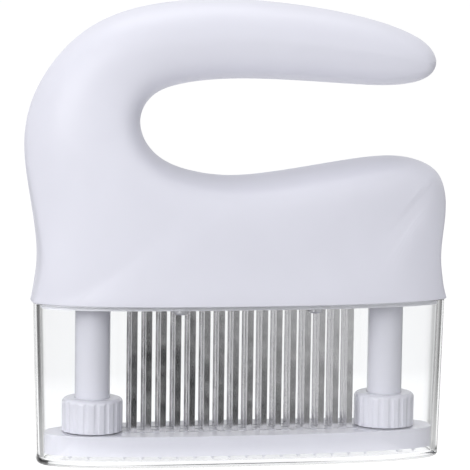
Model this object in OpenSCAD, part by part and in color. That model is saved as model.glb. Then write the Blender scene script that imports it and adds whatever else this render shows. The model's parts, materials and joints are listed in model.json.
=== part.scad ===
// Blade meat tenderizer: a C-shaped handle over three rows of blades, a sprung
// guard plate on two hollow columns, and a clear cover that lifts off downwards.
// Millimetres, +Z up, standing on the cover. The front is -Y and the grip's tip is +X.

/* [Handle] */
// Length of the handle's lower edge
base_l = 138; // [124:1:160]
// Depth of the handle's lower edge, front to back
base_d = 40; // [37:0.5:50]
// Height of the block, from its lower edge to the dip under the grip
block_h = 40.4; // [38:0.1:60]
// Height of the hump over the right column, above the dip
hump_h = 6.5; // [4:0.1:10]
// Gap for the fingers, from the dip to the underside of the grip
finger_gap = 31.3; // [25:0.1:42]
// Height of the grip's section
grip_h = 26; // [22:0.2:32]
// Depth of the grip's section, front to back
grip_d = 29; // [24:0.5:36]
// How far the heel bulges past the lower edge
heel_bulge = 2.5; // [0:0.1:4]
// Thickness of the moulded walls
shell_wall = 2.5; // [1.8:0.1:3]

/* [Clear cover] */
// Height of the cover
cover_h = 52.4; // [48:0.2:60]
// How far the cover's top stands inside the handle's lower edge, at the ends
cover_set_in = 0.9; // [0.7:0.1:3]
// How far the cover's top stands inside the handle's lower edge, front and back
cover_set_back = 2.1; // [1.5:0.1:3]
// Thickness of the cover's walls
cover_wall = 1.9; // [1.4:0.1:2.4]
// Thickness of the cover's floor
cover_floor = 1.5; // [1:0.1:2.2]
// How much narrower the cover is at its foot, on each side
cover_draft = 1.3; // [0.4:0.1:1.6]

/* [Blades] */
// Pitch of the blades along a row
blade_pitch = 4.76; // [4:0.02:4.8]
// Pitch of the three rows, front to back
row_pitch = 4.9; // [4.6:0.1:5.4]
// Width of a blade
blade_w = 1.95; // [1.5:0.05:2.2]
// Thickness of a blade
blade_t = 0.55; // [0.4:0.05:0.7]
// Width of a blade's T-shaped head
head_w = 3.4; // [2.8:0.1:3.8]
// Height of a blade's T-shaped head
head_h = 1.2; // [0.8:0.1:1.6]

/* [Guard] */
// Thickness of the guard plate
plate_t = 6.5; // [5:0.1:8]
// Space between the guard plate and the cover's floor
plate_lift = 2; // [1.6:0.1:4]
// How far each column stands in from the end of the handle's lower edge
column_inset = 20.5; // [19:0.5:26]
// Outer diameter of a column
column_dia = 11.4; // [10.8:0.1:12]
// Wall of a hollow column
column_wall = 1.6; // [1.3:0.1:1.8]
// Outer diameter of a nut
nut_dia = 19.7; // [18:0.1:21]
// Wall of a nut round the boss's thread
nut_wall = 1.95; // [1.5:0.05:2.5]
// Height of a nut
nut_h = 10.7; // [10:0.1:12]
// Shallow flutes round a nut
nut_flutes = 18; // [12:1:24]

/* [Springs] */
// Diameter of the spring wire
wire_dia = 1.1; // [0.8:0.05:1.2]
// Curls in each spring
spring_curls = 14; // [10:1:16]

/* [Hidden] */
$fn = 64;

// Clearances
parting_gap = 0.1;   // flat faces that come to rest on each other
slide_gap = 0.05;    // a column in its guide, on the radius
thread_gap = 0.1;    // a screw thread, on the radius
free_gap = 0.3;      // parts that pass without touching
nut_gap = 1.3;       // a nut and the nearest blade
spring_gap = 0.4;    // a spring in its column, on the radius
screw_slack = 0.04;  // a screw in its hole, on the diameter
bite = 0.6;          // how far a rib or boss runs into the wall that carries it
overlap = 0.01;      // how far joined solids run into each other

// Colours
plastic = [0.90, 0.90, 0.94];
plastic_shade = [0.84, 0.84, 0.89];
steel = [0.62, 0.62, 0.64];
clear = [0.85, 0.92, 0.95, 0.35];

// Levels of the handle, from its lower edge up
skirt_z = cover_h + parting_gap;
dip_z = skirt_z + block_h;
hump_z = dip_z + hump_h;
under_z = dip_z + finger_gap;
top_z = under_z + grip_h;
half_l = base_l / 2;
column_x = half_l - column_inset;

// Blades that fit between the two nuts
blade_room = 2 * (column_x - nut_dia / 2 - nut_gap) - blade_w;
blade_count = 1 + floor(blade_room / blade_pitch);

// ---- Plan shape: the rounded oblong that the base, rim, guard and cover share ----
plan_power = 2.4;      // how square the handle's plan is: 2 is an ellipse
inner_power = 2.7;     // the same for the rim, the guard and the cover
plan_points = 72;

function plan_depth(x, half_x, half_y, power) =
    half_y * pow(max(1 - pow(min(abs(x) / half_x, 1), power), 0), 1 / power);
function plan_point(angle, half_x, half_y, power) = [
    half_x * sign(cos(angle)) * pow(abs(cos(angle)), 2 / power),
    half_y * sign(sin(angle)) * pow(abs(sin(angle)), 2 / power)];
function plan_ring(half_x, half_y, power, count = plan_points) =
    [for (k = [0 : count - 1]) plan_point(360 * (k + 0.5) / count, half_x, half_y, power)];

module plan(half_x, half_y) {
    polygon(plan_ring(half_x, half_y, inner_power));
}

// A solid through rings of [half length, half depth, z], closed at both ends
module plan_loft(rings) {
    points = [for (ring = rings) for (p = plan_ring(ring[0], ring[1], inner_power)) [p.x, p.y, ring[2]]];
    last = len(rings) - 1;
    polyhedron(points, concat(
        [for (r = [0 : last - 1]) for (k = [0 : plan_points - 1])
            let (n = (k + 1) % plan_points, a = r * plan_points, b = a + plan_points)
            each [[a + k, b + k, b + n], [a + k, b + n, a + n]]],
        [for (k = [1 : plan_points - 2]) [0, k, k + 1]],
        [for (k = [1 : plan_points - 2])
            [last * plan_points, last * plan_points + k + 1, last * plan_points + k]]));
}

// ---- Handle outline ----
// Each control point is [x, z, rounding, land]. The rounding is how far the edge's
// curve reaches in from the outline. The land is the share of the depth that stands
// square at the outline: 1 on the sides of the block, where the plan shape rules.
tip_x = half_l - 4.9;
throat_x = -half_l + 35;
soft = 0.08;
function mix(a, b, share) = a + (b - a) * share;
grip_start_x = -half_l + 32;
grip_end_x = tip_x - 12;
dip_start_x = throat_x + 22;
hump_start_x = column_x - 33.5;
heel_side = [
    [-half_l + 0.3, skirt_z, 12, 1],
    [-half_l + 2.6, skirt_z + 13.5, 12, 1],
    [-half_l + 1, skirt_z + 28, 13, 0.8],
    [-half_l - heel_bulge, dip_z + 10.8, 14, 0.25],
    [-half_l + 1.5, under_z - 3, 13, soft],
    [-half_l + 14.8, top_z - 12, 12, soft],
    [grip_start_x, top_z - 3.4, 11.5, soft],
    [mix(grip_start_x, grip_end_x, 0.29), top_z, 11.5, soft],
    [mix(grip_start_x, grip_end_x, 0.58), top_z - 1.4, 11.5, soft],
    [mix(grip_start_x, grip_end_x, 0.82), top_z - 4.9, 11, soft],
    [grip_end_x, top_z - 9.5, 9, soft],
    [tip_x - 2.9, top_z - 14.6, 5.6, soft]];
tip = [[tip_x, top_z - 20.3, 4.6, soft]];
palm_side = [
    [tip_x - 3, under_z + 0.5, 5.6, soft],
    [tip_x - 13.8, under_z - 2, 9, soft],
    [mix(grip_start_x, grip_end_x, 0.8), under_z - 1.5, 11, soft],
    [mix(grip_start_x, grip_end_x, 0.56), under_z - 0.2, 11.5, soft],
    [mix(grip_start_x, grip_end_x, 0.33), under_z, 11.5, soft],
    [throat_x + 10.2, under_z - 2.3, 11, soft],
    [throat_x + 3.2, under_z - 6.1, 10, soft],
    [throat_x, under_z - 12.5, 9.5, soft],
    [throat_x + 1.5, dip_z + 12, 9, soft],
    [throat_x + 5.7, dip_z + 6.8, 8.5, soft],
    [throat_x + 12, dip_z + 3.2, 8.5, soft],
    [dip_start_x, dip_z + 0.7, 8.5, soft]];
block_side = [
    [mix(dip_start_x, hump_start_x, 0.4), dip_z, 8.5, soft],
    [hump_start_x, dip_z + 1.8, 8.5, soft],
    [column_x - 17.5, hump_z - 2.1, 8.5, soft],
    [column_x - 0.5, hump_z, 8.5, soft],
    [half_l - 11, hump_z - 1.3, 8.5, soft],
    [half_l - 3.9, hump_z - 5.2, 7.4, 0.15],
    [half_l - 1.2, hump_z - 12.3, 8.4, 0.45],
    [half_l - 1.3, skirt_z + 27, 11, 0.8],
    [half_l - 3.4, skirt_z + 13.5, 12, 1],
    [half_l - 0.5, skirt_z, 12, 1]];
outline = concat(heel_side, tip, palm_side, block_side);
outline_steps = 3;     // points on each stretch between two control points

// A centripetal Catmull-Rom curve through four control points
function knot(a, b) = sqrt(norm([a[0] - b[0], a[1] - b[1]]));
function curve_point(p0, p1, p2, p3, share) =
    let (k1 = knot(p0, p1), k2 = k1 + knot(p1, p2), k3 = k2 + knot(p2, p3),
        t = k1 + (k2 - k1) * share,
        a1 = (p0 * (k1 - t) + p1 * t) / k1,
        a2 = (p1 * (k2 - t) + p2 * (t - k1)) / (k2 - k1),
        a3 = (p2 * (k3 - t) + p3 * (t - k2)) / (k3 - k2),
        b1 = (a1 * (k2 - t) + a2 * t) / k2,
        b2 = (a2 * (k3 - t) + a3 * (t - k1)) / (k3 - k1))
    (b1 * (k2 - t) + b2 * (t - k1)) / (k2 - k1);
function smooth_path(controls, steps) =
    let (n = len(controls), first = 2 * controls[0] - controls[1],
        last = 2 * controls[n - 1] - controls[n - 2])
    concat([for (i = [0 : n - 2]) for (s = [0 : steps - 1])
        curve_point(i == 0 ? first : controls[i - 1], controls[i], controls[i + 1],
            i == n - 2 ? last : controls[i + 2], s / steps)], [controls[n - 1]]);

path = smooth_path(outline, outline_steps);
path_end = len(path) - 1;
tip_index = len(heel_side) * outline_steps;
middle_x = -(min([for (p = path) p[0]]) + max([for (p = path) p[0]])) / 2;

// Direction into the handle, square to the outline
function inward(i) =
    i == 0 ? [1, 0] : i == path_end ? [-1, 0] :
    let (d = path[i + 1] - path[i - 1]) [d[1], -d[0]] / norm([d[0], d[1]]);

// Half depth of the handle at a place on its front view
function ease(t) = let (u = min(max(t, 0), 1)) u * u * (3 - 2 * u);
function handle_depth(x, z) =
    let (up = ease((z - dip_z + 6) / (finger_gap + 8)), out = ease((z - skirt_z - 18) / 34),
        power = plan_power + 1.6 * up,
        reach = x < 0 ? half_l + 0.5 + (heel_bulge + 0.4) * out : mix(half_l + 0.5, tip_x + 1.2, up))
    max(plan_depth(x, reach, base_d / 2 + (grip_d - base_d) / 2 * up, power), 1.2);

// ---- Handle shell: an outer and an inner skin on one net, joined at their edges ----
layers = 5;            // rows of the net from the parting face to the ridge
cap_steps = path_end - tip_index;
low_turn = 50;         // how the net's points crowd towards the lower edge's right end
net_size = (path_end + 1) * (layers + 1) + 2 * (cap_steps + 1);

function skin_points(inset) =
    let (
        rows = [for (i = [0 : path_end]) for (r = [0 : layers])
            let (turn = r < 2 ? 0 : 90 * (r - 1) / (layers - 1), p = path[i],
                reach = inset + max(p[2] - inset, 1) * (1 - cos(turn)), q = [p[0], p[1]] + inward(i) * reach,
                depth = (handle_depth(q[0], q[1]) - inset) * (p[3] + (1 - p[3]) * sin(turn)))
            [q[0], r == 0 ? 0 : -max(depth, 0.6), max(q[1], skirt_z)]],
        ridge = function(i) rows[i * (layers + 1) + layers],
        left = ridge(0)[0], right = ridge(path_end)[0],
        low = [for (c = [0 : cap_steps])
            c <= tip_index ? ridge(tip_index - c) :
            let (turn = low_turn * (c - tip_index) / (cap_steps - tip_index),
                x = left + (right - left) * sin(turn) / sin(low_turn))
            [x, inset - handle_depth(x, skirt_z), skirt_z]],
        mid = [for (c = [0 : cap_steps])
            let (m = (low[c] + ridge(tip_index + c)) / 2) [m[0], inset - handle_depth(m[0], m[2]), m[2]]])
    concat(rows, low, mid);

// Numbers of the net's points
function row_id(i, r) = i * (layers + 1) + r;
function high_id(c) = row_id(tip_index + c, layers);
function low_id(c) =
    c <= tip_index ? row_id(tip_index - c, layers) :
    c == cap_steps ? high_id(c) : (path_end + 1) * (layers + 1) + c;
function mid_id(c) =
    c == 0 || c == cap_steps ? high_id(c) : (path_end + 1) * (layers + 1) + cap_steps + 1 + c;
function triangles(quads) = [for (q = quads) each [
    if (q[0] != q[1] && q[1] != q[2] && q[2] != q[0]) [q[0], q[1], q[2]],
    if (q[0] != q[2] && q[2] != q[3] && q[3] != q[0]) [q[0], q[2], q[3]]]];
net_faces = triangles(concat(
    [for (i = [0 : path_end - 1]) for (r = [0 : layers - 1])
        [row_id(i, r), row_id(i + 1, r), row_id(i + 1, r + 1), row_id(i, r + 1)]],
    [for (c = [0 : cap_steps - 1]) [low_id(c + 1), low_id(c), mid_id(c), mid_id(c + 1)]],
    [for (c = [0 : cap_steps - 1]) [mid_id(c + 1), mid_id(c), high_id(c), high_id(c + 1)]]));
net_edge = concat(
    [for (i = [0 : path_end]) row_id(i, 0)],
    [for (r = [1 : layers]) row_id(path_end, r)],
    [for (c = [cap_steps - 1 : -1 : tip_index + 1]) low_id(c)],
    [for (r = [layers : -1 : 1]) row_id(0, r)]);

module handle_skin() {
    edge_count = len(net_edge);
    polyhedron(concat(skin_points(0), skin_points(shell_wall)), concat(
        net_faces,
        [for (f = net_faces) [f[2] + net_size, f[1] + net_size, f[0] + net_size]],
        triangles([for (k = [0 : edge_count - 1])
            let (a = net_edge[k], b = net_edge[(k + 1) % edge_count])
            [a, a + net_size, b + net_size, b]])));
}

// ---- Base frame and what it carries ----
spigot_h = 1.6;        // rim that shows inside the top of the cover
flange_t = 1.9;        // flange that the shells close over
collar_h = 3.6;        // guide collar above the flange
cover_half_l = half_l - cover_set_in;
cover_half_d = base_d / 2 - cover_set_back;
rim_half_l = cover_half_l - cover_wall - free_gap;
rim_half_d = cover_half_d - cover_wall - free_gap;
rim_z = skirt_z - spigot_h;
flange_z = skirt_z + flange_t;
collar_z = flange_z + collar_h;

// Stop ring, tower, cap. The tower is as tall as the dip in the handle lets it be, and
// the stroke is what that leaves between a column's top and its cap.
ring_t = 3;
ring_proud = 1.45;     // how far a stop ring stands out of its column
groove_deep = 0.7;     // groove that holds the ring
groove_lip = 1.2;      // end of the column above the groove
tower_wall = 1.7;
ring_dia = column_dia + 2 * ring_proud;
groove_dia = column_dia - 2 * groove_deep;
tower_bore = ring_dia + 2 * free_gap;
tower_dia = tower_bore + 2 * tower_wall;
ring_z = collar_z + parting_gap;
column_top = ring_z + ring_t + groove_lip;
cap_t = 3.4;
cap_z = dip_z - cap_t;

// Screws through the frame into the shells, and through the clamp plate
frame_screw_x = 22;
frame_screw_y = rim_half_d - 3.3;
frame_screw_len = 9;
boss_dia = 6.4;
boss_h = 11;
screw_dia = 2.4;
screw_head_dia = 4.8;
screw_head_h = 1.5;
clamp_t = 2.5;
clamp_half_l = blade_count * blade_pitch / 2 + 0.4;
clamp_half_d = row_pitch + 3.6;
clamp_screw_x = blade_pitch * (blade_count / 2 - 2);
clamp_screw_dia = 2.2;
clamp_screw_head = 4;
clamp_screw_head_h = 1.3;
clamp_z = flange_z + head_h;

module at_columns(side) { translate([side * column_x, 0, 0]) children(); }
module placed() { translate([middle_x, 0, 0]) children(); }
module tube(outer, inner, height) {
    rotate_extrude() translate([inner / 2, 0]) square([(outer - inner) / 2, height]);
}
module blade_places(row) {
    for (k = [0 : blade_count - 1])
        translate([(k - (blade_count - 1) / 2) * blade_pitch, row * row_pitch, 0]) children();
}

module frame_screw_places() {
    for (x = [-1, 1], y = [-1, 1]) translate([x * frame_screw_x, y * frame_screw_y, 0]) children();
}
module clamp_screw_places() {
    for (x = [-1, 1], y = [-1, 1])
        translate([x * clamp_screw_x, y * row_pitch / 2, 0]) children();
}

module shell_boss() {
    rib_t = 2;
    rib_y = handle_depth(frame_screw_x, skirt_z) - shell_wall + bite - frame_screw_y;
    for (x = [-1, 1]) translate([x * frame_screw_x, -frame_screw_y, flange_z]) difference() {
        union() {
            cylinder(d = boss_dia, h = boss_h);
            translate([-rib_t / 2, -rib_y, 0]) cube([rib_t, rib_y, boss_h]);
        }
        translate([0, 0, -1]) cylinder(d = screw_dia, h = frame_screw_len + 1);
    }
}

module handle_front_shell() {
    color(plastic) placed() union() { handle_skin(); shell_boss(); }
}
module handle_back_shell() {
    color(plastic) mirror([0, 1, 0]) placed() union() { handle_skin(); shell_boss(); }
}

module frame_plan_cuts(slot_w, slot_t) {
    for (row = [-1, 0, 1]) blade_places(row) square([slot_w, slot_t], center = true);
    for (side = [-1, 1]) translate([side * column_x, 0]) circle(d = column_dia + 2 * slide_gap);
    frame_screw_places() circle(d = screw_dia + 2 * thread_gap);
    clamp_screw_places() circle(d = clamp_screw_dia);
}
module base_frame() {
    slot_w = blade_w + 0.1;
    slot_t = blade_t + 0.1;
    flange_half_l = half_l - shell_wall - 4 * free_gap;
    flange_half_d = base_d / 2 - shell_wall - free_gap;
    color(plastic_shade) placed() union() {
        translate([0, 0, rim_z]) linear_extrude(spigot_h) difference() {
            plan(rim_half_l, rim_half_d);
            frame_plan_cuts(slot_w, slot_t);
        }
        translate([0, 0, skirt_z]) linear_extrude(flange_t) difference() {
            polygon(plan_ring(flange_half_l, flange_half_d, plan_power));
            frame_plan_cuts(slot_w, slot_t);
        }
        for (side = [-1, 1]) at_columns(side) {
            translate([0, 0, flange_z]) tube(tower_dia, column_dia + 2 * slide_gap, collar_h);
            translate([0, 0, collar_z]) tube(tower_dia, tower_bore, cap_z + cap_t - collar_z);
        }
    }
}

// ---- Blades ----
tip_clear = 2.1;       // how far the tips stand above the underside of the guard
plate_z = cover_floor + plate_lift;
plate_top = plate_z + plate_t;
blade_tip_z = plate_z + tip_clear;
point_h = 2.6;         // height of a blade's slanted point
point_w = 0.5;         // width left at its tip

module blade() {
    shank_top = flange_z;
    rotate([90, 0, 0]) linear_extrude(blade_t, center = true) polygon([
        [-blade_w / 2, blade_tip_z + point_h], [blade_w / 2 - point_w, blade_tip_z],
        [blade_w / 2, blade_tip_z], [blade_w / 2, shank_top],
        [head_w / 2, shank_top], [head_w / 2, shank_top + head_h],
        [-head_w / 2, shank_top + head_h], [-head_w / 2, shank_top], [-blade_w / 2, shank_top]]);
}
module blade_row(row) {
    color(steel) placed() blade_places(row) blade();
}
module blade_row_front() { blade_row(-1); }
module blade_row_middle() { blade_row(0); }
module blade_row_back() { blade_row(1); }

module blade_clamp_plate() {
    corner = 2;
    rib = 1.4;
    rib_in = 1.8;
    rib_half_l = clamp_half_l - 6;
    color(plastic_shade) placed() translate([0, 0, clamp_z]) union() {
        linear_extrude(clamp_t) difference() {
            offset(r = corner) square(2 * [clamp_half_l - corner, clamp_half_d - corner], center = true);
            clamp_screw_places() circle(d = clamp_screw_dia + 2 * thread_gap);
        }
        for (side = [-1, 1])
            translate([-rib_half_l, side * (clamp_half_d - rib_in) - rib / 2, clamp_t])
            cube([2 * rib_half_l, rib, rib]);
    }
}

module screw(dia, len, head_dia, head_h) {
    rotate_extrude() polygon([[0, -len], [dia / 2 - 0.3, -len], [dia / 2, -len + 0.5], [dia / 2, 0],
        [head_dia / 2, 0], [head_dia / 2, head_h * 0.6], [head_dia / 2 - 0.6, head_h], [0, head_h]]);
}
module clamp_screws() {
    len = clamp_t + head_h + flange_t + spigot_h - 2 * free_gap;
    color(steel) placed() clamp_screw_places() translate([0, 0, clamp_z + clamp_t])
        screw(clamp_screw_dia - screw_slack, len, clamp_screw_head, clamp_screw_head_h);
}
module frame_screws() {
    len = spigot_h + flange_t + frame_screw_len - 1;
    color(steel) placed() frame_screw_places() translate([0, 0, rim_z]) mirror([0, 0, 1])
        screw(screw_dia - screw_slack, len, screw_head_dia, screw_head_h);
}

// ---- Springs ----
boss_top = plate_top + 5.6;            // top of the threaded boss on the guard plate
foot_t = 2.3;                          // flange at the foot of a column
bore_rise = 0.8;                       // bottom of the bore above the flange
column_foot = boss_top + slide_gap;
spring_floor = column_foot + foot_t + bore_rise;
column_bore = column_dia - 2 * column_wall;
spring_dia = column_bore - 2 * spring_gap;
spring_len = cap_z - spring_floor - 2 * slide_gap;
rings_per_curl = 8;
wire_sides = 6;
end_pitch = wire_dia + 0.6;
mid_pitch = (spring_len - wire_dia - 2 * end_pitch) / (spring_curls - 2);

function coil_rise(turns) =
    turns < 1 ? end_pitch * turns :
    turns > spring_curls - 1 ? spring_len - wire_dia - end_pitch * (spring_curls - turns) :
    end_pitch + mid_pitch * (turns - 1);
function coil_centre(turns) = [
    (spring_dia - wire_dia) / 2 * cos(360 * turns),
    (spring_dia - wire_dia) / 2 * sin(360 * turns),
    spring_floor + slide_gap + wire_dia / 2 + coil_rise(turns)];
coil_rings = spring_curls * rings_per_curl;
least_coil_gap = min([for (k = [0 : coil_rings - rings_per_curl])
    norm(coil_centre((k + rings_per_curl) / rings_per_curl) - coil_centre(k / rings_per_curl))]) - wire_dia;
echo(least_gap_of_a_spring_to_itself = least_coil_gap);

module spring() {
    points = [for (k = [0 : coil_rings])
        let (turns = k / rings_per_curl, turn = 360 * turns, c = coil_centre(turns))
        for (s = [0 : wire_sides - 1]) let (a = 360 * s / wire_sides)
        c + wire_dia / 2 * [cos(a) * cos(turn), cos(a) * sin(turn), sin(a)]];
    last = coil_rings * wire_sides;
    polyhedron(points, concat(
        [for (k = [0 : coil_rings - 1]) for (s = [0 : wire_sides - 1])
            let (n = (s + 1) % wire_sides, a = k * wire_sides, b = a + wire_sides)
            each [[a + s, a + n, b + n], [a + s, b + n, b + s]]],
        [for (s = [1 : wire_sides - 2]) [0, s + 1, s]],
        [for (s = [1 : wire_sides - 2]) [last, last + s, last + s + 1]]));
}
module spring_cap() {
    spigot_dia = spring_dia - 2 * wire_dia - 0.5;
    spigot_len = 3;
    spigot_taper = 0.8;
    slot_w = 1.5;
    slot_deep = 1.4;
    difference() {
        union() {
            translate([0, 0, cap_z]) cylinder(d = tower_bore - 2 * slide_gap, h = cap_t);
            translate([0, 0, cap_z - spigot_len])
                cylinder(d1 = spigot_dia - spigot_taper, d2 = spigot_dia, h = spigot_len + overlap);
        }
        translate([-tower_bore / 4, -slot_w / 2, cap_z + cap_t - slot_deep])
            cube([tower_bore / 2, slot_w, slot_deep + 1]);
    }
}
module left_spring() { color(steel) placed() at_columns(-1) spring(); }
module right_spring() { color(steel) placed() at_columns(1) spring(); }
module left_spring_cap() { color(plastic_shade) placed() at_columns(-1) spring_cap(); }
module right_spring_cap() { color(plastic_shade) placed() at_columns(1) spring_cap(); }

// ---- Guard ----
plate_half_l = rim_half_l - cover_draft - 0.1;
plate_half_d = rim_half_d - cover_draft;
boss_thread = nut_dia - 2 * (nut_wall + thread_gap);
bump_pitch = 5.66;
bump_h = 1;
bump_dia = 1.9;
bump_tip = 0.5;
bump_inset = 1.4;
bump_left_out = 8;     // no bump here, counted from the middle: it is under the column

module guard_plate() {
    slot_w = blade_w + 2 * free_gap;
    slot_t = blade_t + 0.4 + free_gap;
    groove_l = 2 * ceil(blade_count * blade_pitch / 2);
    groove_h = 0.8;
    bumps = floor((plate_half_l - 6) / bump_pitch);
    color(plastic) placed() union() {
        difference() {
            union() {
                translate([0, 0, plate_z]) linear_extrude(plate_t) plan(plate_half_l, plate_half_d);
                for (side = [-1, 1]) at_columns(side) translate([0, 0, plate_z])
                    cylinder(d = boss_thread, h = boss_top - plate_z);
            }
            translate([0, 0, plate_z - 1]) linear_extrude(plate_t + 2)
                for (row = [-1, 0, 1]) blade_places(row) square([slot_w, slot_t], center = true);
            for (row = [-1, 0, 1])
                translate([-groove_l / 2, row * row_pitch - slot_t / 2, plate_top - groove_h])
                cube([groove_l, slot_t, groove_h + 1]);
        }
        for (k = [-bumps : bumps], side = [-1, 1]) if (abs(k) != bump_left_out)
            translate([k * bump_pitch, side * (plan_depth(k * bump_pitch, plate_half_l, plate_half_d,
                inner_power) - bump_inset), plate_z - bump_h])
                cylinder(d1 = bump_tip, d2 = bump_dia, h = bump_h + overlap, $fn = 16);
    }
}

module column() {
    foot_r = boss_thread / 2 - thread_gap;
    chamfer = 0.4;
    rotate_extrude() polygon([[0, column_foot], [foot_r, column_foot],
        [foot_r, column_foot + foot_t], [column_dia / 2, column_foot + foot_t],
        [column_dia / 2, ring_z - slide_gap], [groove_dia / 2, ring_z - slide_gap],
        [groove_dia / 2, ring_z + ring_t + slide_gap], [column_dia / 2, ring_z + ring_t + slide_gap],
        [column_dia / 2, column_top - chamfer], [column_dia / 2 - chamfer, column_top],
        [column_bore / 2, column_top], [column_bore / 2, spring_floor], [0, spring_floor]]);
}
module stop_ring() {
    mouth = groove_dia * 0.72;
    translate([0, 0, ring_z]) linear_extrude(ring_t) difference() {
        circle(d = ring_dia);
        circle(d = groove_dia + 2 * slide_gap);
        translate([0, -mouth / 2]) square([ring_dia, mouth]);
    }
}
module left_column() { color(plastic) placed() at_columns(-1) column(); }
module right_column() { color(plastic) placed() at_columns(1) column(); }
module left_stop_ring() { color(steel) placed() at_columns(-1) stop_ring(); }
module right_stop_ring() { color(steel) placed() at_columns(1) stop_ring(); }

// A union nut: it turns on the boss's thread and draws the column's foot down on it
nut_z = plate_top + 0.4;
module nut() {
    nut_bore = boss_thread + 2 * thread_gap;
    shoulder_z = column_foot + foot_t + slide_gap;
    flute_r = 1.7;
    flute_deep = 0.3;
    top_round = 1.6;
    translate([0, 0, nut_z]) intersection() {
        linear_extrude(nut_h) difference() {
            circle(d = nut_dia);
            for (k = [0 : nut_flutes - 1]) rotate(360 * (k + 0.5) / nut_flutes)
                translate([nut_dia / 2 + flute_r - flute_deep, 0]) circle(r = flute_r);
        }
        rotate_extrude() difference() {
            union() {
                square([nut_dia / 2 - top_round, nut_h]);
                square([nut_dia / 2, nut_h - top_round]);
                translate([nut_dia / 2 - top_round, nut_h - top_round]) circle(r = top_round, $fn = 48);
            }
            translate([-nut_dia, -nut_dia]) square([nut_dia, 3 * nut_dia]);
            translate([-1, -1]) square([column_dia / 2 + thread_gap + 1, nut_h + 2]);
            translate([-1, -1]) square([nut_bore / 2 + 1, shoulder_z - nut_z + 1]);
        }
    }
}
module left_nut() { color(plastic) placed() at_columns(-1) nut(); }
module right_nut() { color(plastic) placed() at_columns(1) nut(); }

// ---- Clear cover ----
module clear_cover() {
    foot_round = 1;
    foot_mid = 0.3 * foot_round;
    floor_round = 0.8;
    low_l = cover_half_l - cover_draft;
    low_d = cover_half_d - cover_draft;
    color(clear) placed() difference() {
        plan_loft([[low_l - foot_round, low_d - foot_round, 0],
            [low_l - foot_mid, low_d - foot_mid, foot_mid],
            [low_l, low_d, foot_round], [cover_half_l, cover_half_d, cover_h]]);
        plan_loft([
            [low_l - cover_wall - floor_round, low_d - cover_wall - floor_round, cover_floor],
            [low_l - cover_wall, low_d - cover_wall, cover_floor + floor_round],
            [cover_half_l - cover_wall, cover_half_d - cover_wall, cover_h],
            [cover_half_l - cover_wall, cover_half_d - cover_wall, cover_h + 1]]);
    }
}

handle_front_shell();
handle_back_shell();
base_frame();
blade_clamp_plate();
blade_row_front();
blade_row_middle();
blade_row_back();
clamp_screws();
frame_screws();
left_spring_cap();
right_spring_cap();
left_spring();
right_spring();
guard_plate();
left_column();
right_column();
left_stop_ring();
right_stop_ring();
left_nut();
right_nut();
clear_cover();
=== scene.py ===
"""Looks of a blade meat tenderizer: a white C-shaped handle, three rows of steel blades,
a sprung guard plate on two columns, and a clear cover. Sizes are in metres."""

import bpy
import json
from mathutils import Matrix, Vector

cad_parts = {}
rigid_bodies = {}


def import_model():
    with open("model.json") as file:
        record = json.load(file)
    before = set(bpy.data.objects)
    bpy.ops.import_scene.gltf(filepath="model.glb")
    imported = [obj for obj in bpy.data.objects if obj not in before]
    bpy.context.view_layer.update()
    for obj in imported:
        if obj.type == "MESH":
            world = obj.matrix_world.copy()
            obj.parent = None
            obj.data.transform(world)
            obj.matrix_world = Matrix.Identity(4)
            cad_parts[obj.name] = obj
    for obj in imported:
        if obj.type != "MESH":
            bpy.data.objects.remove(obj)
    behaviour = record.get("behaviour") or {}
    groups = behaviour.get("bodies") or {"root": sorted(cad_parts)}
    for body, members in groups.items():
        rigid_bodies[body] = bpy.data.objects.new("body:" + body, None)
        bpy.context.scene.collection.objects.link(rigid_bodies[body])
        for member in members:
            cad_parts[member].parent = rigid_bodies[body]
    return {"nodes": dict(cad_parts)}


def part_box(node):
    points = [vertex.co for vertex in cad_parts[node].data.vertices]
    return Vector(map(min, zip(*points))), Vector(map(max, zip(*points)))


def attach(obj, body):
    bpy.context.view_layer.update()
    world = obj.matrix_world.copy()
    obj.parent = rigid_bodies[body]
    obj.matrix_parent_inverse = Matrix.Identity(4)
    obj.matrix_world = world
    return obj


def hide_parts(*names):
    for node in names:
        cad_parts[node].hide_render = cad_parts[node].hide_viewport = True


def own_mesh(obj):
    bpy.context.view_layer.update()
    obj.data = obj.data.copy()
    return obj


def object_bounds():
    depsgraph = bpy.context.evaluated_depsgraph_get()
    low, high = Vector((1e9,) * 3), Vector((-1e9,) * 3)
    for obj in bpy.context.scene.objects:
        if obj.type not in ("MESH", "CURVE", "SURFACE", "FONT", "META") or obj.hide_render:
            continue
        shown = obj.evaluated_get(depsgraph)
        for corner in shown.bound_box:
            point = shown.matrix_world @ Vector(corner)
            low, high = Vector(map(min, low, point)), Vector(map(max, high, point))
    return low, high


bl_info = {
    "name": "Blade Meat Tenderizer",
    "version": (1, 0, 0),
    "blender": (4, 5, 0),
    "location": "3D Viewport > Sidebar > Tenderizer",
    "description": "Builds the finished pieces of a blade meat tenderizer round its packed frame",
    "category": "Add Mesh",
}

import json
import math

import bmesh
import bpy
from bpy.props import FloatProperty, FloatVectorProperty, IntProperty, PointerProperty
from mathutils import Vector

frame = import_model()
cad_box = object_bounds()
MM = 0.001
MERGE = 0.002 * MM      # CAD points nearer than this are one
JOIN = 0.02 * MM        # points of the two half shells nearer than this are one
NUDGE = 0.05 * MM       # heights nearer than this are level
RIM_ROUND = 0.3 * MM    # rounding of the cover's rim
FLOOR_DROP = 0.2 * MM   # how far the table lies under the tool
FLOOR_GLOW = 1.17       # strength of the table's light
FLOOR_WHITE = 0.8       # share of plain white in the table that the camera sees
BOUNCES = 24            # enough for light that runs along inside the clear cover
COVER_LOW, COVER_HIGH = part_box("clear_cover")
SKIRT_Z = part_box("handle_front_shell")[0].z
NODE_SPRINGS = ("left_spring", "right_spring")
BLADE_ROWS = ("blade_row_front", "blade_row_middle", "blade_row_back")

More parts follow.
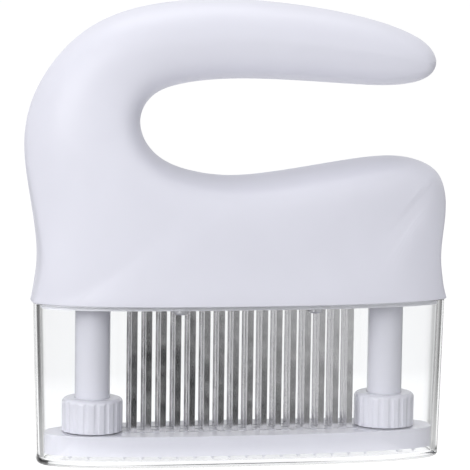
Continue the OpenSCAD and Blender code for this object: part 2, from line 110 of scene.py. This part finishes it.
# Painted reflection: the table's glow as only reflected and bent rays see it, standing in for dark
# surroundings. It is light in line with the tool, and dark in two wings that open backwards from points
# WING_START out of the middle. A pair is how many metres a place lies past that point for each metre
# back, and how bright the table's glow is there.
WINGS = ((0.0, 0.91), (0.2, 0.88), (0.32, 0.78), (0.4, 0.5), (0.5, 0.13), (0.75, 0.06), (1.0, 0.08),
         (1.2, 0.2), (1.6, 0.35), (2.5, 0.5))
WING_START = 0.066
WING_SLANT = 0.14       # how far the wings' middle turns to +X for each metre back


def length(name, description, default, low=0.0, high=1.0):
    """A size that a user can set, in metres."""
    return FloatProperty(name=name, description=description, default=default, min=low, max=high,
                         unit="LENGTH", precision=5)


def share(name, description, default):
    """A value from 0 to 1 that a user can set."""
    return FloatProperty(name=name, description=description, default=default, min=0, max=1,
                         subtype="FACTOR")


def colour(name, description, default):
    """A colour that a user can set."""
    return FloatVectorProperty(name=name, description=description, default=default, size=3,
                               subtype="COLOR", min=0, max=1)


class TenderizerPlastic(bpy.types.PropertyGroup):
    """Finish of the white moulded pieces"""
    handle_colour: colour("Handle", "Colour of the handle's shells", (0.745, 0.745, 0.82))
    frame_colour: colour("Frame", "Colour of the base frame and its inner pieces", (0.86, 0.865, 0.92))
    guard_colour: colour("Guard", "Colour of the guard plate, columns and nuts", (0.68, 0.68, 0.745))
    roughness: share("Roughness", "Roughness of the handle's satin plastic", 0.42)
    guard_roughness: share("Guard roughness", "Roughness of the guard's shinier plastic", 0.2)
    grain: length("Grain", "Size of the mould's fine grain", 0.45 * MM, 0.05 * MM, 3 * MM)
    smoothing: IntProperty(name="Smoothing", description="How often the handle's skin is evened out",
                           default=24, min=0, max=50)
    wall: length("Wall", "Thickness of the handle's wall", 2.5 * MM, 1 * MM, 4 * MM)
    seam_width: length("Seam width", "Width of the joint between the two shells", 0.5 * MM, 0, 2 * MM)
    seam_depth: length("Seam depth", "Depth of the joint between the two shells", 0.22 * MM, 0, 1 * MM)
    edge_round: length("Edge round", "Rounding of the handle's lower edge", 0.45 * MM, 0, 2 * MM)


class TenderizerSteel(bpy.types.PropertyGroup):
    """Finish of the blades, springs and fasteners"""
    blade_colour: colour("Blades", "Colour of the stainless blades", (0.84, 0.835, 0.845))
    spring_colour: colour("Springs", "Colour of the spring wire", (0.42, 0.42, 0.44))
    screw_colour: colour("Screws", "Colour of the screws and stop rings", (0.72, 0.72, 0.75))
    blade_roughness: share("Blade roughness", "Roughness of the rolled blade faces", 0.14)
    blade_edge: length("Blade edge", "Rounding of a blade's edges", 0.07 * MM, 0, 0.3 * MM)


class TenderizerCover(bpy.types.PropertyGroup):
    """Form and finish of the clear cover"""
    tint: colour("Tint", "Colour of the clear plastic", (0.985, 0.99, 0.995))
    ior: FloatProperty(name="IOR", description="Index of refraction", default=1.49, min=1, max=2)
    wall: length("Wall", "Thickness of the cover's walls", 1.9 * MM, 0.5 * MM, 4 * MM)
    floor: length("Floor", "Thickness of the cover's floor", 1.5 * MM, 0.5 * MM, 4 * MM)
    draft: length("Draft", "How much narrower the foot is on each side", 1.3 * MM, 0, 4 * MM)
    foot_round: length("Foot round", "Rounding of the foot's outer edge", 1.0 * MM, 0.1 * MM, 4 * MM)
    inner_round: length("Inner round", "Rounding inside, where the walls meet the floor", 0.8 * MM,
                        0.1 * MM, 3 * MM)
    squareness: FloatProperty(name="Squareness", description="Plan shape: 2 is an ellipse",
                              default=2.7, min=2, max=6)
    points: IntProperty(name="Points", description="Points round the cover", default=240, min=48,
                        max=480)


class TenderizerStudio(bpy.types.PropertyGroup):
    """Camera and lights"""
    camera_place: FloatVectorProperty(name="Camera", description="Place of the camera", size=3,
                                      default=(-0.17247, -0.87746, 0.17402), subtype="TRANSLATION")
    camera_turn: FloatVectorProperty(name="Camera turn", description="Turn of the camera", size=3,
                                     default=tuple(math.radians(a) for a in (83.579, -0.755, -10.995)),
                                     subtype="EULER")
    lens: FloatProperty(name="Lens", description="Focal length in millimetres", default=211.9, min=20)
    key_power: FloatProperty(name="Key", description="Power of the large left light", default=6.9,
                             min=0, unit="POWER")
    fill_power: FloatProperty(name="Fill", description="Power of the light from the right", default=0.6,
                              min=0, unit="POWER")
    top_power: FloatProperty(name="Top", description="Power of the light from above", default=3.8,
                             min=0, unit="POWER")
    ambient: FloatProperty(name="Ambient", description="Strength of the light from all round",
                           default=0.48, min=0)


SETTINGS = {
    "tenderizer_plastic": TenderizerPlastic,
    "tenderizer_steel": TenderizerSteel,
    "tenderizer_cover": TenderizerCover,
    "tenderizer_studio": TenderizerStudio,
}


# ---- Modelling helpers ----

def select_only(piece):
    """Leaves this piece alone selected and active, in object mode."""
    if bpy.context.object and bpy.context.object.mode != "OBJECT":
        bpy.ops.object.mode_set(mode="OBJECT")
    bpy.ops.object.select_all(action="DESELECT")
    piece.select_set(True)
    bpy.context.view_layer.objects.active = piece


def start_edit(piece, kind):
    """Opens a piece in edit mode with nothing selected. kind is VERT, EDGE or FACE."""
    select_only(piece)
    bpy.ops.object.mode_set(mode="EDIT")
    bpy.ops.mesh.select_mode(type=kind)
    bpy.ops.mesh.select_all(action="DESELECT")


def pick(piece, kind, test):
    """Selects the vertices, edges or faces of the open piece that pass a test."""
    bpy.ops.mesh.select_all(action="DESELECT")
    net = bmesh.from_edit_mesh(piece.data)
    net.normal_update()
    for part in {"VERT": net.verts, "EDGE": net.edges, "FACE": net.faces}[kind]:
        if test(part):
            part.select_set(True)
    net.select_flush_mode()
    bmesh.update_edit_mesh(piece.data)


def end_edit():
    """Closes edit mode."""
    bpy.ops.object.mode_set(mode="OBJECT")


def add_modifier(piece, kind, **values):
    """Adds a modifier with these values, and applies it."""
    select_only(piece)
    modifier = piece.modifiers.new(kind.title(), kind)
    for name, value in values.items():
        setattr(modifier, name, value)
    bpy.ops.object.modifier_apply(modifier=modifier.name)


def smooth(piece, angle):
    """Shades a piece smooth, except over edges sharper than the angle in degrees."""
    select_only(piece)
    bpy.ops.object.shade_smooth_by_angle(angle=math.radians(angle))


def smooth_flat(piece, angle):
    """Shades a piece smooth, and keeps its large faces flat next to their rounded edges."""
    smooth(piece, angle)
    add_modifier(piece, "WEIGHTED_NORMAL", mode="FACE_AREA", weight=50, keep_sharp=True)


def solid_copy(node, name):
    """A new piece from a copy of a CAD node, with its triangles merged and its own normals cleared."""
    piece = bpy.data.objects.new(name, frame["nodes"][node].data.copy())
    bpy.context.scene.collection.objects.link(piece)
    select_only(piece)
    bpy.ops.mesh.customdata_custom_splitnormals_clear()
    start_edit(piece, "VERT")
    bpy.ops.mesh.select_all(action="SELECT")
    bpy.ops.mesh.remove_doubles(threshold=MERGE)
    bpy.ops.mesh.mark_sharp(clear=True)
    end_edit()
    return piece


def finish_piece(piece, body, material):
    """Gives a piece its material and slot, and lets it ride on a body."""
    piece.data.materials.clear()
    piece.data.materials.append(material)
    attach(piece, body)


def dress(node, material):
    """Gives a CAD node a better material."""
    for slot in frame["nodes"][node].material_slots:
        slot.material = material


def corner(edge, angle):
    """Whether the faces at an edge turn by more than an angle in radians."""
    return edge.is_manifold and edge.calc_face_angle(0) > angle


def make_quads(shape):
    """Joins the open piece's selected triangles in pairs. shape is the most an angle may be off."""
    bpy.ops.mesh.tris_convert_to_quads(face_threshold=math.radians(60),
                                       shape_threshold=math.radians(shape))


# ---- Shader groups ----

FINISH_OUTPUTS = (("Colour", "NodeSocketColor"), ("Roughness", "NodeSocketFloat"),
                  ("Normal", "NodeSocketVector"))


def new_group(name, inputs, outputs):
    """An empty shader node group. Its inputs are (name, default), and its outputs (name, kind)."""
    group = bpy.data.node_groups.new(name, "ShaderNodeTree")
    for title, default in inputs:
        kind = "NodeSocketColor" if isinstance(default, tuple) else "NodeSocketFloat"
        group.interface.new_socket(title, in_out="INPUT", socket_type=kind).default_value = default
    for title, kind in outputs:
        group.interface.new_socket(title, in_out="OUTPUT", socket_type=kind)
    return group, group.nodes.new("NodeGroupInput"), group.nodes.new("NodeGroupOutput")


def add_node(tree, kind, **values):
    """Adds a node and sets its properties, and its inputs by name."""
    node = tree.nodes.new(kind)
    for name, value in values.items():
        if hasattr(node, name):
            setattr(node, name, value)
        else:
            node.inputs[name.replace("_", " ")].default_value = value
    return node


def link(tree, source, target):
    """Links an output socket to an input socket."""
    tree.links.new(source, target)


def feed(tree, value, target):
    """Sets an input socket to a number, or links an output socket to it."""
    if isinstance(value, (int, float)):
        target.default_value = value
    else:
        link(tree, value, target)


def calc(tree, operation, *values):
    """A maths node on these numbers and sockets; returns its result."""
    node = add_node(tree, "ShaderNodeMath", operation=operation)
    for place, value in zip(node.inputs, values):
        feed(tree, value, place)
    return node.outputs["Value"]


def remap(tree, value, low, high, to_low=0.0, to_high=1.0):
    """Takes a value from one range to another, and keeps it there; returns the result."""
    node = tree.nodes.new("ShaderNodeMapRange")
    for name, given in (("Value", value), ("From Min", low), ("From Max", high), ("To Min", to_low),
                        ("To Max", to_high)):
        feed(tree, given, node.inputs[name])
    return node.outputs["Result"]


def noise(tree, place, scale, **values):
    """A noise texture at this place and scale; returns its value."""
    node = add_node(tree, "ShaderNodeTexNoise", **values)
    link(tree, place, node.inputs["Vector"])
    feed(tree, scale, node.inputs["Scale"])
    return node.outputs["Fac"]


def path_mask(tree, *names):
    """One when the ray is of any of these kinds."""
    path = tree.nodes.new("ShaderNodeLightPath")
    total = path.outputs[names[0]]
    for name in names[1:]:
        total = calc(tree, "MAXIMUM", total, path.outputs[name])
    return total


def put_out_normal(group, out, height, strength, distance):
    """Puts out the normal of a bumped surface."""
    bump = add_node(group, "ShaderNodeBump", Distance=distance)
    link(group, strength, bump.inputs["Strength"])
    link(group, height, bump.inputs["Height"])
    link(group, bump.outputs["Normal"], out.inputs["Normal"])


def put_out_finish(group, given, out, shade, gloss):
    """Puts out the given colour times a shade, and the given roughness plus a change."""
    tinted = add_node(group, "ShaderNodeVectorMath", operation="SCALE")
    link(group, given.outputs["Colour"], tinted.inputs[0])
    link(group, shade, tinted.inputs["Scale"])
    link(group, tinted.outputs["Vector"], out.inputs["Colour"])
    link(group, calc(group, "ADD", given.outputs["Roughness"], gloss), out.inputs["Roughness"])


def moulded_group():
    """Moulded plastic: fine grain, slow flow of the melt, and a faint change of shade."""
    group, given, out = new_group(
        "Moulded Plastic",
        [("Colour", (0.8, 0.8, 0.8, 1)), ("Roughness", 0.4), ("Grain Scale", 2200.0),
         ("Grain Depth", 0.15)], FINISH_OUTPUTS)
    place = add_node(group, "ShaderNodeTexCoord").outputs["Object"]
    grain = noise(group, place, given.outputs["Grain Scale"], Detail=3.0, Roughness=0.6)
    flow = noise(group, place, 38.0, Detail=2.0, Distortion=0.6)
    put_out_finish(group, given, out, shade=remap(group, flow, 0.3, 0.7, 0.985, 1.012),
                   gloss=remap(group, flow, 0.3, 0.7, -0.035, 0.035))
    put_out_normal(group, out, grain, given.outputs["Grain Depth"], 0.03 * MM)
    return group


def drawn_group():
    """Rolled or drawn steel: fine streaks along Z, slower bands, and stains."""
    group, given, out = new_group(
        "Drawn Steel",
        [("Colour", (0.6, 0.6, 0.6, 1)), ("Roughness", 0.2), ("Streak Scale", 9000.0),
         ("Streak Depth", 0.2)], FINISH_OUTPUTS)
    place = add_node(group, "ShaderNodeTexCoord").outputs["Object"]
    stretch = add_node(group, "ShaderNodeMapping")
    stretch.inputs["Scale"].default_value = (1, 1, 0.02)
    link(group, place, stretch.inputs["Vector"])
    streak = noise(group, stretch.outputs["Vector"], given.outputs["Streak Scale"], Detail=4.0,
                   Roughness=0.65)
    stain = noise(group, place, 160.0, Detail=3.0)
    both = calc(group, "MULTIPLY", streak, stain)
    put_out_finish(group, given, out, shade=remap(group, both, 0.12, 0.4, 0.86, 1.06),
                   gloss=remap(group, stain, 0.3, 0.7, -0.06, 0.1))
    put_out_normal(group, out, streak, given.outputs["Streak Depth"], 0.01 * MM)
    return group


def clear_group():
    """Clear moulding: a slow ripple in its walls, and faint rubbed patches."""
    group, given, out = new_group("Clear Moulding", [("Ripple", 0.1), ("Rubbed", 0.02)],
                                  FINISH_OUTPUTS[1:])
    place = add_node(group, "ShaderNodeTexCoord").outputs["Object"]
    ripple = noise(group, place, 45.0, Detail=1.0)
    put_out_normal(group, out, ripple, given.outputs["Ripple"], 0.2 * MM)
    patches = noise(group, place, 90.0, Detail=5.0)
    link(group, remap(group, patches, 0.52, 0.75, 0.0, given.outputs["Rubbed"]),
         out.inputs["Roughness"])
    return group


def shader_group(name, build):
    """The group of this name, built on its first use."""
    return bpy.data.node_groups.get(name) or build()


# ---- Materials ----

def new_material(name):
    """A material with an empty Principled BSDF: returns the material, its tree and the shader."""
    material = bpy.data.materials.get(name) or bpy.data.materials.new(name)
    material.use_nodes = True
    tree = material.node_tree
    tree.nodes.clear()
    shader = tree.nodes.new("ShaderNodeBsdfPrincipled")
    link(tree, shader.outputs["BSDF"], tree.nodes.new("ShaderNodeOutputMaterial").inputs["Surface"])
    return material, tree, shader


def grouped(tree, group, shader, **values):
    """Places a shader group with these values and links what it puts out to the shader."""
    node = tree.nodes.new("ShaderNodeGroup")
    node.node_tree = group
    for name, value in values.items():
        node.inputs[name.replace("_", " ")].default_value = value
    targets = {"Colour": "Base Color", "Roughness": "Roughness", "Normal": "Normal"}
    for title, target in targets.items():
        if title in node.outputs:
            link(tree, node.outputs[title], shader.inputs[target])


def plastic_material(name, tint, roughness, settings):
    """White moulded plastic with light spreading under its surface."""
    material, tree, shader = new_material(name)
    grouped(tree, shader_group("Moulded Plastic", moulded_group), shader, Colour=(*tint, 1),
            Roughness=roughness, Grain_Scale=1 / settings.grain, Grain_Depth=0.12)
    shader.inputs["Subsurface Weight"].default_value = 0.08
    shader.inputs["Subsurface Radius"].default_value = (1, 1, 1)
    shader.inputs["Subsurface Scale"].default_value = 1.2 * MM
    return material


def steel_material(name, tint, roughness, streak_scale=9000.0, streak_depth=0.2):
    """Bare steel."""
    material, tree, shader = new_material(name)
    grouped(tree, shader_group("Drawn Steel", drawn_group), shader, Colour=(*tint, 1),
            Roughness=roughness, Streak_Scale=streak_scale, Streak_Depth=streak_depth)
    shader.inputs["Metallic"].default_value = 1
    return material


def clear_material(name, settings):
    """Clear plastic that lets lamps through to what it covers."""
    material, tree, shader = new_material(name)
    grouped(tree, shader_group("Clear Moulding", clear_group), shader, Ripple=0.04, Rubbed=0.03)
    shader.inputs["Base Color"].default_value = (*settings.tint, 1)
    shader.inputs["Transmission Weight"].default_value = 1
    shader.inputs["IOR"].default_value = settings.ior
    lamp_rays = tree.nodes.new("ShaderNodeLightPath")
    through = tree.nodes.new("ShaderNodeBsdfTransparent")
    through.inputs["Color"].default_value = (0.95, 0.95, 0.95, 1)
    mix = tree.nodes.new("ShaderNodeMixShader")
    link(tree, lamp_rays.outputs["Is Shadow Ray"], mix.inputs["Fac"])
    link(tree, shader.outputs["BSDF"], mix.inputs[1])
    link(tree, through.outputs["BSDF"], mix.inputs[2])
    link(tree, mix.outputs["Shader"], tree.nodes["Material Output"].inputs["Surface"])
    return material


# ---- Pieces ----

def outer_skin(node, name):
    """The outer skin of a handle shell, cut free along the parting face and the lower edge."""
    piece = solid_copy(node, name)
    reach = max(abs(v.co.y) for v in piece.data.vertices)
    start_edit(piece, "FACE")
    pick(piece, "FACE", lambda f: all(abs(v.co.y) < MERGE for v in f.verts)
         or all(v.co.z < SKIRT_Z + MERGE for v in f.verts))
    bpy.ops.mesh.delete(type="FACE")
    pick(piece, "FACE", lambda f: any(abs(v.co.y) > reach - MERGE for v in f.verts))
    bpy.ops.mesh.select_linked()
    bpy.ops.mesh.select_all(action="INVERT")
    bpy.ops.mesh.delete(type="VERT")
    bpy.ops.mesh.select_all(action="SELECT")
    make_quads(75)
    end_edit()
    return piece


class TENDERIZER_OT_handle(bpy.types.Operator):
    """Models the C-shaped handle as two smooth shells with a fine joint between them"""
    bl_idname = "tenderizer.handle"
    bl_label = "Handle"

    def execute(self, context):
        settings = context.scene.tenderizer_plastic
        handle = outer_skin("handle_front_shell", "handle_shells")
        back = outer_skin("handle_back_shell", "handle_back")
        select_only(handle)
        back.select_set(True)
        bpy.ops.object.join()
        start_edit(handle, "VERT")
        bpy.ops.mesh.select_all(action="SELECT")
        bpy.ops.mesh.remove_doubles(threshold=JOIN)
        bpy.ops.mesh.normals_make_consistent(inside=False)
        end_edit()
        add_modifier(handle, "SUBSURF", levels=2, render_levels=2, boundary_smooth="PRESERVE_CORNERS")
        start_edit(handle, "VERT")
        pick(handle, "VERT", lambda v: v.co.z > SKIRT_Z + NUDGE)
        bpy.ops.mesh.vertices_smooth(factor=0.5, repeat=settings.smoothing)
        end_edit()
        self.cut_seam(handle, settings)
        add_modifier(handle, "SOLIDIFY", thickness=settings.wall, offset=-1, use_even_offset=False)
        start_edit(handle, "EDGE")
        pick(handle, "EDGE", lambda e: all(v.co.z < SKIRT_Z + NUDGE for v in e.verts) and corner(e, 1))
        bpy.ops.mesh.bevel(offset=settings.edge_round, segments=3)
        end_edit()
        smooth(handle, 40)
        material = plastic_material("Handle Plastic", settings.handle_colour, settings.roughness,
                                    settings)
        finish_piece(handle, "handle", material)
        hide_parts("handle_front_shell", "handle_back_shell")
        return {"FINISHED"}

    @staticmethod
    def cut_seam(handle, settings):
        """Cuts a fine groove along the middle plane, where the two shells are welded."""
        for side in (-1, 1):
            start_edit(handle, "EDGE")
            bpy.ops.mesh.select_all(action="SELECT")
            bpy.ops.mesh.bisect(plane_co=(0, side * settings.seam_width / 2, 0), plane_no=(0, 1, 0))
            end_edit()
        start_edit(handle, "VERT")
        pick(handle, "VERT", lambda v: abs(v.co.y) < 0.01 * MM and v.co.z > SKIRT_Z + NUDGE)
        bpy.ops.transform.shrink_fatten(value=-settings.seam_depth)
        end_edit()


class TENDERIZER_OT_frame_parts(bpy.types.Operator):
    """Finishes the base frame and the pieces that it carries inside the handle"""
    bl_idname = "tenderizer.frame_parts"
    bl_label = "Base Frame"

    def execute(self, context):
        settings = context.scene.tenderizer_plastic
        material = plastic_material("Frame Plastic", settings.frame_colour, settings.roughness,
                                    settings)
        for node in ("base_frame", "blade_clamp_plate", "left_spring_cap", "right_spring_cap"):
            dress(node, material)
        return {"FINISHED"}


class TENDERIZER_OT_guard(bpy.types.Operator):
    """Finishes the guard plate, its columns and nuts"""
    bl_idname = "tenderizer.guard"
    bl_label = "Guard"

    def execute(self, context):
        settings = context.scene.tenderizer_plastic
        material = plastic_material("Guard Plastic", settings.guard_colour, settings.guard_roughness,
                                    settings)
        for node in ("guard_plate", "left_column", "right_column", "left_nut", "right_nut"):
            dress(node, material)
        return {"FINISHED"}


class TENDERIZER_OT_blades(bpy.types.Operator):
    """Models the three rows of blades with softened edges"""
    bl_idname = "tenderizer.blades"
    bl_label = "Blades"

    def execute(self, context):
        settings = context.scene.tenderizer_steel
        material = steel_material("Blade Steel", settings.blade_colour, settings.blade_roughness)
        for node in BLADE_ROWS:
            row = solid_copy(node, node.replace("blade_row", "blades"))
            start_edit(row, "EDGE")
            bpy.ops.mesh.select_all(action="SELECT")
            bpy.ops.mesh.dissolve_limited(angle_limit=math.radians(2))
            pick(row, "EDGE", lambda e: corner(e, 0.5))
            bpy.ops.mesh.bevel(offset=settings.blade_edge, segments=2)
            end_edit()
            smooth_flat(row, 50)
            finish_piece(row, "handle", material)
            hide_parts(node)
        return {"FINISHED"}


class TENDERIZER_OT_springs(bpy.types.Operator):
    """Models the two springs as smooth round wire"""
    bl_idname = "tenderizer.springs"
    bl_label = "Springs"

    def execute(self, context):
        settings = context.scene.tenderizer_steel
        material = steel_material("Spring Steel", settings.spring_colour, 0.3)
        for node in NODE_SPRINGS:
            spring = solid_copy(node, node + "_wire")
            start_edit(spring, "FACE")
            bpy.ops.mesh.select_all(action="SELECT")
            make_quads(80)
            end_edit()
            add_modifier(spring, "SUBSURF", levels=1, render_levels=1)
            smooth(spring, 60)
            finish_piece(spring, "handle", material)
            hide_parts(node)
            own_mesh(spring)
        return {"FINISHED"}


class TENDERIZER_OT_fasteners(bpy.types.Operator):
    """Finishes the screws and the stop rings"""
    bl_idname = "tenderizer.fasteners"
    bl_label = "Fasteners"

    def execute(self, context):
        settings = context.scene.tenderizer_steel
        material = steel_material("Fastener Steel", settings.screw_colour, 0.34, 5000.0, 0.1)
        for node in ("clamp_screws", "frame_screws", "left_stop_ring", "right_stop_ring"):
            dress(node, material)
        return {"FINISHED"}


class TENDERIZER_OT_cover(bpy.types.Operator):
    """Models the clear cover as one smooth tub with a rounded foot and rim"""
    bl_idname = "tenderizer.cover"
    bl_label = "Clear Cover"

    def execute(self, context):
        settings = context.scene.tenderizer_cover
        middle = (COVER_LOW + COVER_HIGH) / 2
        size = (COVER_HIGH - COVER_LOW) / 2
        top = COVER_HIGH.z - COVER_LOW.z
        foot = Vector((size.x - settings.draft, size.y - settings.draft))
        bpy.ops.object.select_all(action="DESELECT")
        bpy.ops.mesh.primitive_circle_add(vertices=settings.points, radius=1, fill_type="NGON",
                                          location=(middle.x, middle.y, COVER_LOW.z))
        cover = context.object
        cover.name = "cover_tub"
        power = 2 / settings.squareness
        for v in cover.data.vertices:
            v.co.x = math.copysign(abs(v.co.x) ** power, v.co.x)
            v.co.y = math.copysign(abs(v.co.y) ** power, v.co.y)
        start_edit(cover, "VERT")
        bpy.ops.mesh.select_all(action="SELECT")
        last = (1, 1, 0)
        for number, ring in enumerate(self.rings(settings, foot, size, top)):
            if number:
                bpy.ops.mesh.extrude_region_move(
                    TRANSFORM_OT_translate={"value": (0, 0, ring[2] - last[2])})
            bpy.ops.transform.resize(value=(ring[0] / last[0], ring[1] / last[1], 1),
                                     center_override=(middle.x, middle.y, 0))
            last = ring
        bpy.ops.mesh.select_all(action="SELECT")
        bpy.ops.mesh.normals_make_consistent(inside=False)
        end_edit()
        select_only(cover)
        bpy.ops.object.transform_apply(location=True, rotation=True, scale=True)
        smooth_flat(cover, 50)
        finish_piece(cover, "cover", clear_material("Clear Plastic", settings))
        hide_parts("clear_cover")
        return {"FINISHED"}

    @staticmethod
    def rings(settings, foot, size, top):
        """Rings of (half length, half depth, height), up the outside and down the inside."""
        rings = []

        def add(half, inset, height):
            rings.append((half.x - inset, half.y - inset, height))

        def round_foot(inset, radius, height, angles):
            for turn in map(math.radians, angles):
                add(foot, inset + radius * (1 - math.sin(turn)), height + radius * (1 - math.cos(turn)))

        rim = ((0, 1), (0.3, 0.3), (1, 0))
        round_foot(0, settings.foot_round, 0, (0, 22.5, 45, 67.5, 90))
        for inset, drop in rim:
            add(size, inset * RIM_ROUND, top - drop * RIM_ROUND)
        for inset, drop in reversed(rim):
            add(size, settings.wall - inset * RIM_ROUND, top - drop * RIM_ROUND)
        round_foot(settings.wall, settings.inner_round, settings.floor, (90, 60, 30, 0))
        return rings


# ---- Stage ----

def area_light(name, place, aim, size, power):
    """A rectangular soft light that looks at a point."""
    lamp = bpy.data.lights.new(name, "AREA")
    lamp.shape = "RECTANGLE"
    lamp.size, lamp.size_y = size
    lamp.energy = power
    light = bpy.data.objects.new(name, lamp)
    light.location = place
    light.rotation_mode = "QUATERNION"
    light.rotation_quaternion = (Vector(aim) - Vector(place)).to_track_quat("-Z", "Y")
    bpy.context.scene.collection.objects.link(light)


class TENDERIZER_OT_stage(bpy.types.Operator):
    """Sets up the white floor, the lights and the camera"""
    bl_idname = "tenderizer.stage"
    bl_label = "Stage"

    def execute(self, context):
        settings = context.scene.tenderizer_studio
        scene = context.scene
        scene.view_settings.view_transform = "Standard"
        for kind in ("max_bounces", "transmission_bounces", "glossy_bounces"):
            setattr(scene.cycles, kind, BOUNCES)
        self.world(scene, settings)
        self.floor()
        self.lights(settings)
        camera = bpy.data.objects.new("Camera", bpy.data.cameras.new("Camera"))
        camera.location = settings.camera_place
        camera.rotation_euler = settings.camera_turn
        camera.data.lens = settings.lens
        camera.data.clip_start, camera.data.clip_end = 0.05, 50
        scene.collection.objects.link(camera)
        scene.camera = camera
        return {"FINISHED"}

    @staticmethod
    def world(scene, settings):
        """Pale light from all round, and plain white where the camera, metal or glass sees it."""
        world = bpy.data.worlds.new("Studio")
        scene.world = world
        world.use_nodes = True
        tree = world.node_tree
        tree.nodes.clear()
        light = add_node(tree, "ShaderNodeBackground", Color=(0.96, 0.97, 1, 1),
                         Strength=settings.ambient)
        white = add_node(tree, "ShaderNodeBackground", Color=(1, 1, 1, 1), Strength=1.0)
        mix = tree.nodes.new("ShaderNodeMixShader")
        link(tree, path_mask(tree, "Is Camera Ray", "Is Transmission Ray", "Is Glossy Ray"),
             mix.inputs["Fac"])
        link(tree, light.outputs[0], mix.inputs[1])
        link(tree, white.outputs[0], mix.inputs[2])
        link(tree, mix.outputs[0], tree.nodes.new("ShaderNodeOutputWorld").inputs["Surface"])

    def floor(self):
        """A white table that keeps a faint shadow. Its glow carries a painted reflection: darker to the
        sides and in front, but only for rays that steel reflects and the clear cover bends to it."""
        bpy.ops.object.select_all(action="DESELECT")
        bpy.ops.mesh.primitive_plane_add(size=40, location=(0, 0, cad_box[0].z - FLOOR_DROP))
        floor = bpy.context.object
        floor.name = "floor"
        material, tree, shader = new_material("Floor White")
        shader.inputs["Base Color"].default_value = (0.8, 0.8, 0.8, 1)
        shader.inputs["Roughness"].default_value = 0.9
        camera_ray = path_mask(tree, "Is Camera Ray")
        strength = calc(tree, "MULTIPLY", calc(tree, "MAXIMUM", camera_ray, self.painted_reflection_glow(tree)),
                        FLOOR_GLOW)
        glow = add_node(tree, "ShaderNodeEmission", Color=(1, 1, 1, 1))
        link(tree, strength, glow.inputs["Strength"])
        bent = path_mask(tree, "Is Transmission Ray", "Is Glossy Ray")
        mix = tree.nodes.new("ShaderNodeMixShader")
        link(tree, calc(tree, "MAXIMUM", calc(tree, "MULTIPLY", camera_ray, FLOOR_WHITE), bent),
             mix.inputs["Fac"])
        link(tree, shader.outputs["BSDF"], mix.inputs[1])
        link(tree, glow.outputs["Emission"], mix.inputs[2])
        link(tree, mix.outputs["Shader"], tree.nodes["Material Output"].inputs["Surface"])
        floor.data.materials.append(material)

    @staticmethod
    def painted_reflection_glow(tree):
        """Painted reflection: how bright the table glows to a reflected or refracted ray, by where that
        ray meets it.
        """
        split = add_node(tree, "ShaderNodeSeparateXYZ")
        link(tree, add_node(tree, "ShaderNodeTexCoord").outputs["Object"], split.inputs[0])
        x, y = split.outputs["X"], split.outputs["Y"]
        beside = calc(tree, "ABSOLUTE", calc(tree, "MULTIPLY_ADD", y, -WING_SLANT, x))
        slope = calc(tree, "DIVIDE", calc(tree, "SUBTRACT", beside, WING_START),
                     calc(tree, "MAXIMUM", y, 0.01))
        reach = WINGS[-1][0]
        wings = add_node(tree, "ShaderNodeValToRGB")
        greys = wings.color_ramp.elements
        greys.remove(greys[1])
        for place, grey in WINGS:
            greys.new(place / reach).color = (grey, grey, grey, 1)
        greys.remove(greys[0])
        link(tree, calc(tree, "DIVIDE", slope, reach), wings.inputs["Fac"])
        near = remap(tree, y, 0.02, 0.15, 0.42, 0.0)
        # painted reflection: the wings' glow, a little brighter just behind the tool
        painted_wing_glow = calc(tree, "MULTIPLY", wings.outputs["Color"], remap(tree, y, 0.13, 0.17, 1.1, 1.0))
        # painted reflection: in front of the tool the table glows dark, lighter towards +X, for the
        # blades' faces to reflect
        mix = add_node(tree, "ShaderNodeMix")
        link(tree, remap(tree, y, -0.045, -0.03), mix.inputs["Factor"])
        link(tree, remap(tree, x, 0.01, 0.10, 0.05, 0.4), mix.inputs["A"])
        link(tree, calc(tree, "MAXIMUM", painted_wing_glow, near), mix.inputs["B"])
        return mix.outputs["Result"]

    @staticmethod
    def lights(settings):
        """A large key from the upper left, a weak fill from the right, and a light above."""
        aim = (0, 0, 0.08)
        area_light("Key", (-0.75, -0.9, 0.42), aim, (0.9, 0.7), settings.key_power)
        area_light("Fill", (0.6, -0.9, 0.3), aim, (0.5, 0.8), settings.fill_power)
        area_light("Top", (0.0, 0.1, 1.0), aim, (0.9, 0.6), settings.top_power)


class TENDERIZER_PT_panel(bpy.types.Panel):
    """Lists the steps that build the tenderizer"""
    bl_label = "Meat Tenderizer"
    bl_idname = "TENDERIZER_PT_panel"
    bl_space_type = "VIEW_3D"
    bl_region_type = "UI"
    bl_category = "Tenderizer"

    def draw(self, context):
        """Draws the sizes and colours, then a button for each step."""
        layout = self.layout
        for name, group in SETTINGS.items():
            box = layout.box()
            box.label(text=group.__doc__)
            for prop in group.__annotations__:
                box.prop(getattr(context.scene, name), prop)
        for operator in OPERATORS:
            layout.operator(operator.bl_idname)


OPERATORS = (
    TENDERIZER_OT_handle,
    TENDERIZER_OT_frame_parts,
    TENDERIZER_OT_guard,
    TENDERIZER_OT_blades,
    TENDERIZER_OT_springs,
    TENDERIZER_OT_fasteners,
    TENDERIZER_OT_cover,
    TENDERIZER_OT_stage,
)
CLASSES = (*SETTINGS.values(), *OPERATORS, TENDERIZER_PT_panel)


def register():
    """Registers the classes and hangs the settings on the scene."""
    for item in CLASSES:
        bpy.utils.register_class(item)
    for name, group in SETTINGS.items():
        setattr(bpy.types.Scene, name, PointerProperty(type=group))


def unregister():
    """Takes the settings and the classes away again."""
    for name in SETTINGS:
        delattr(bpy.types.Scene, name)
    for item in reversed(CLASSES):
        bpy.utils.unregister_class(item)


def main():
    """Builds everything, one operator after another."""
    register()
    for operator in OPERATORS:
        family, name = operator.bl_idname.split(".")
        getattr(getattr(bpy.ops, family), name)()


if __name__ == "__main__":
    main()
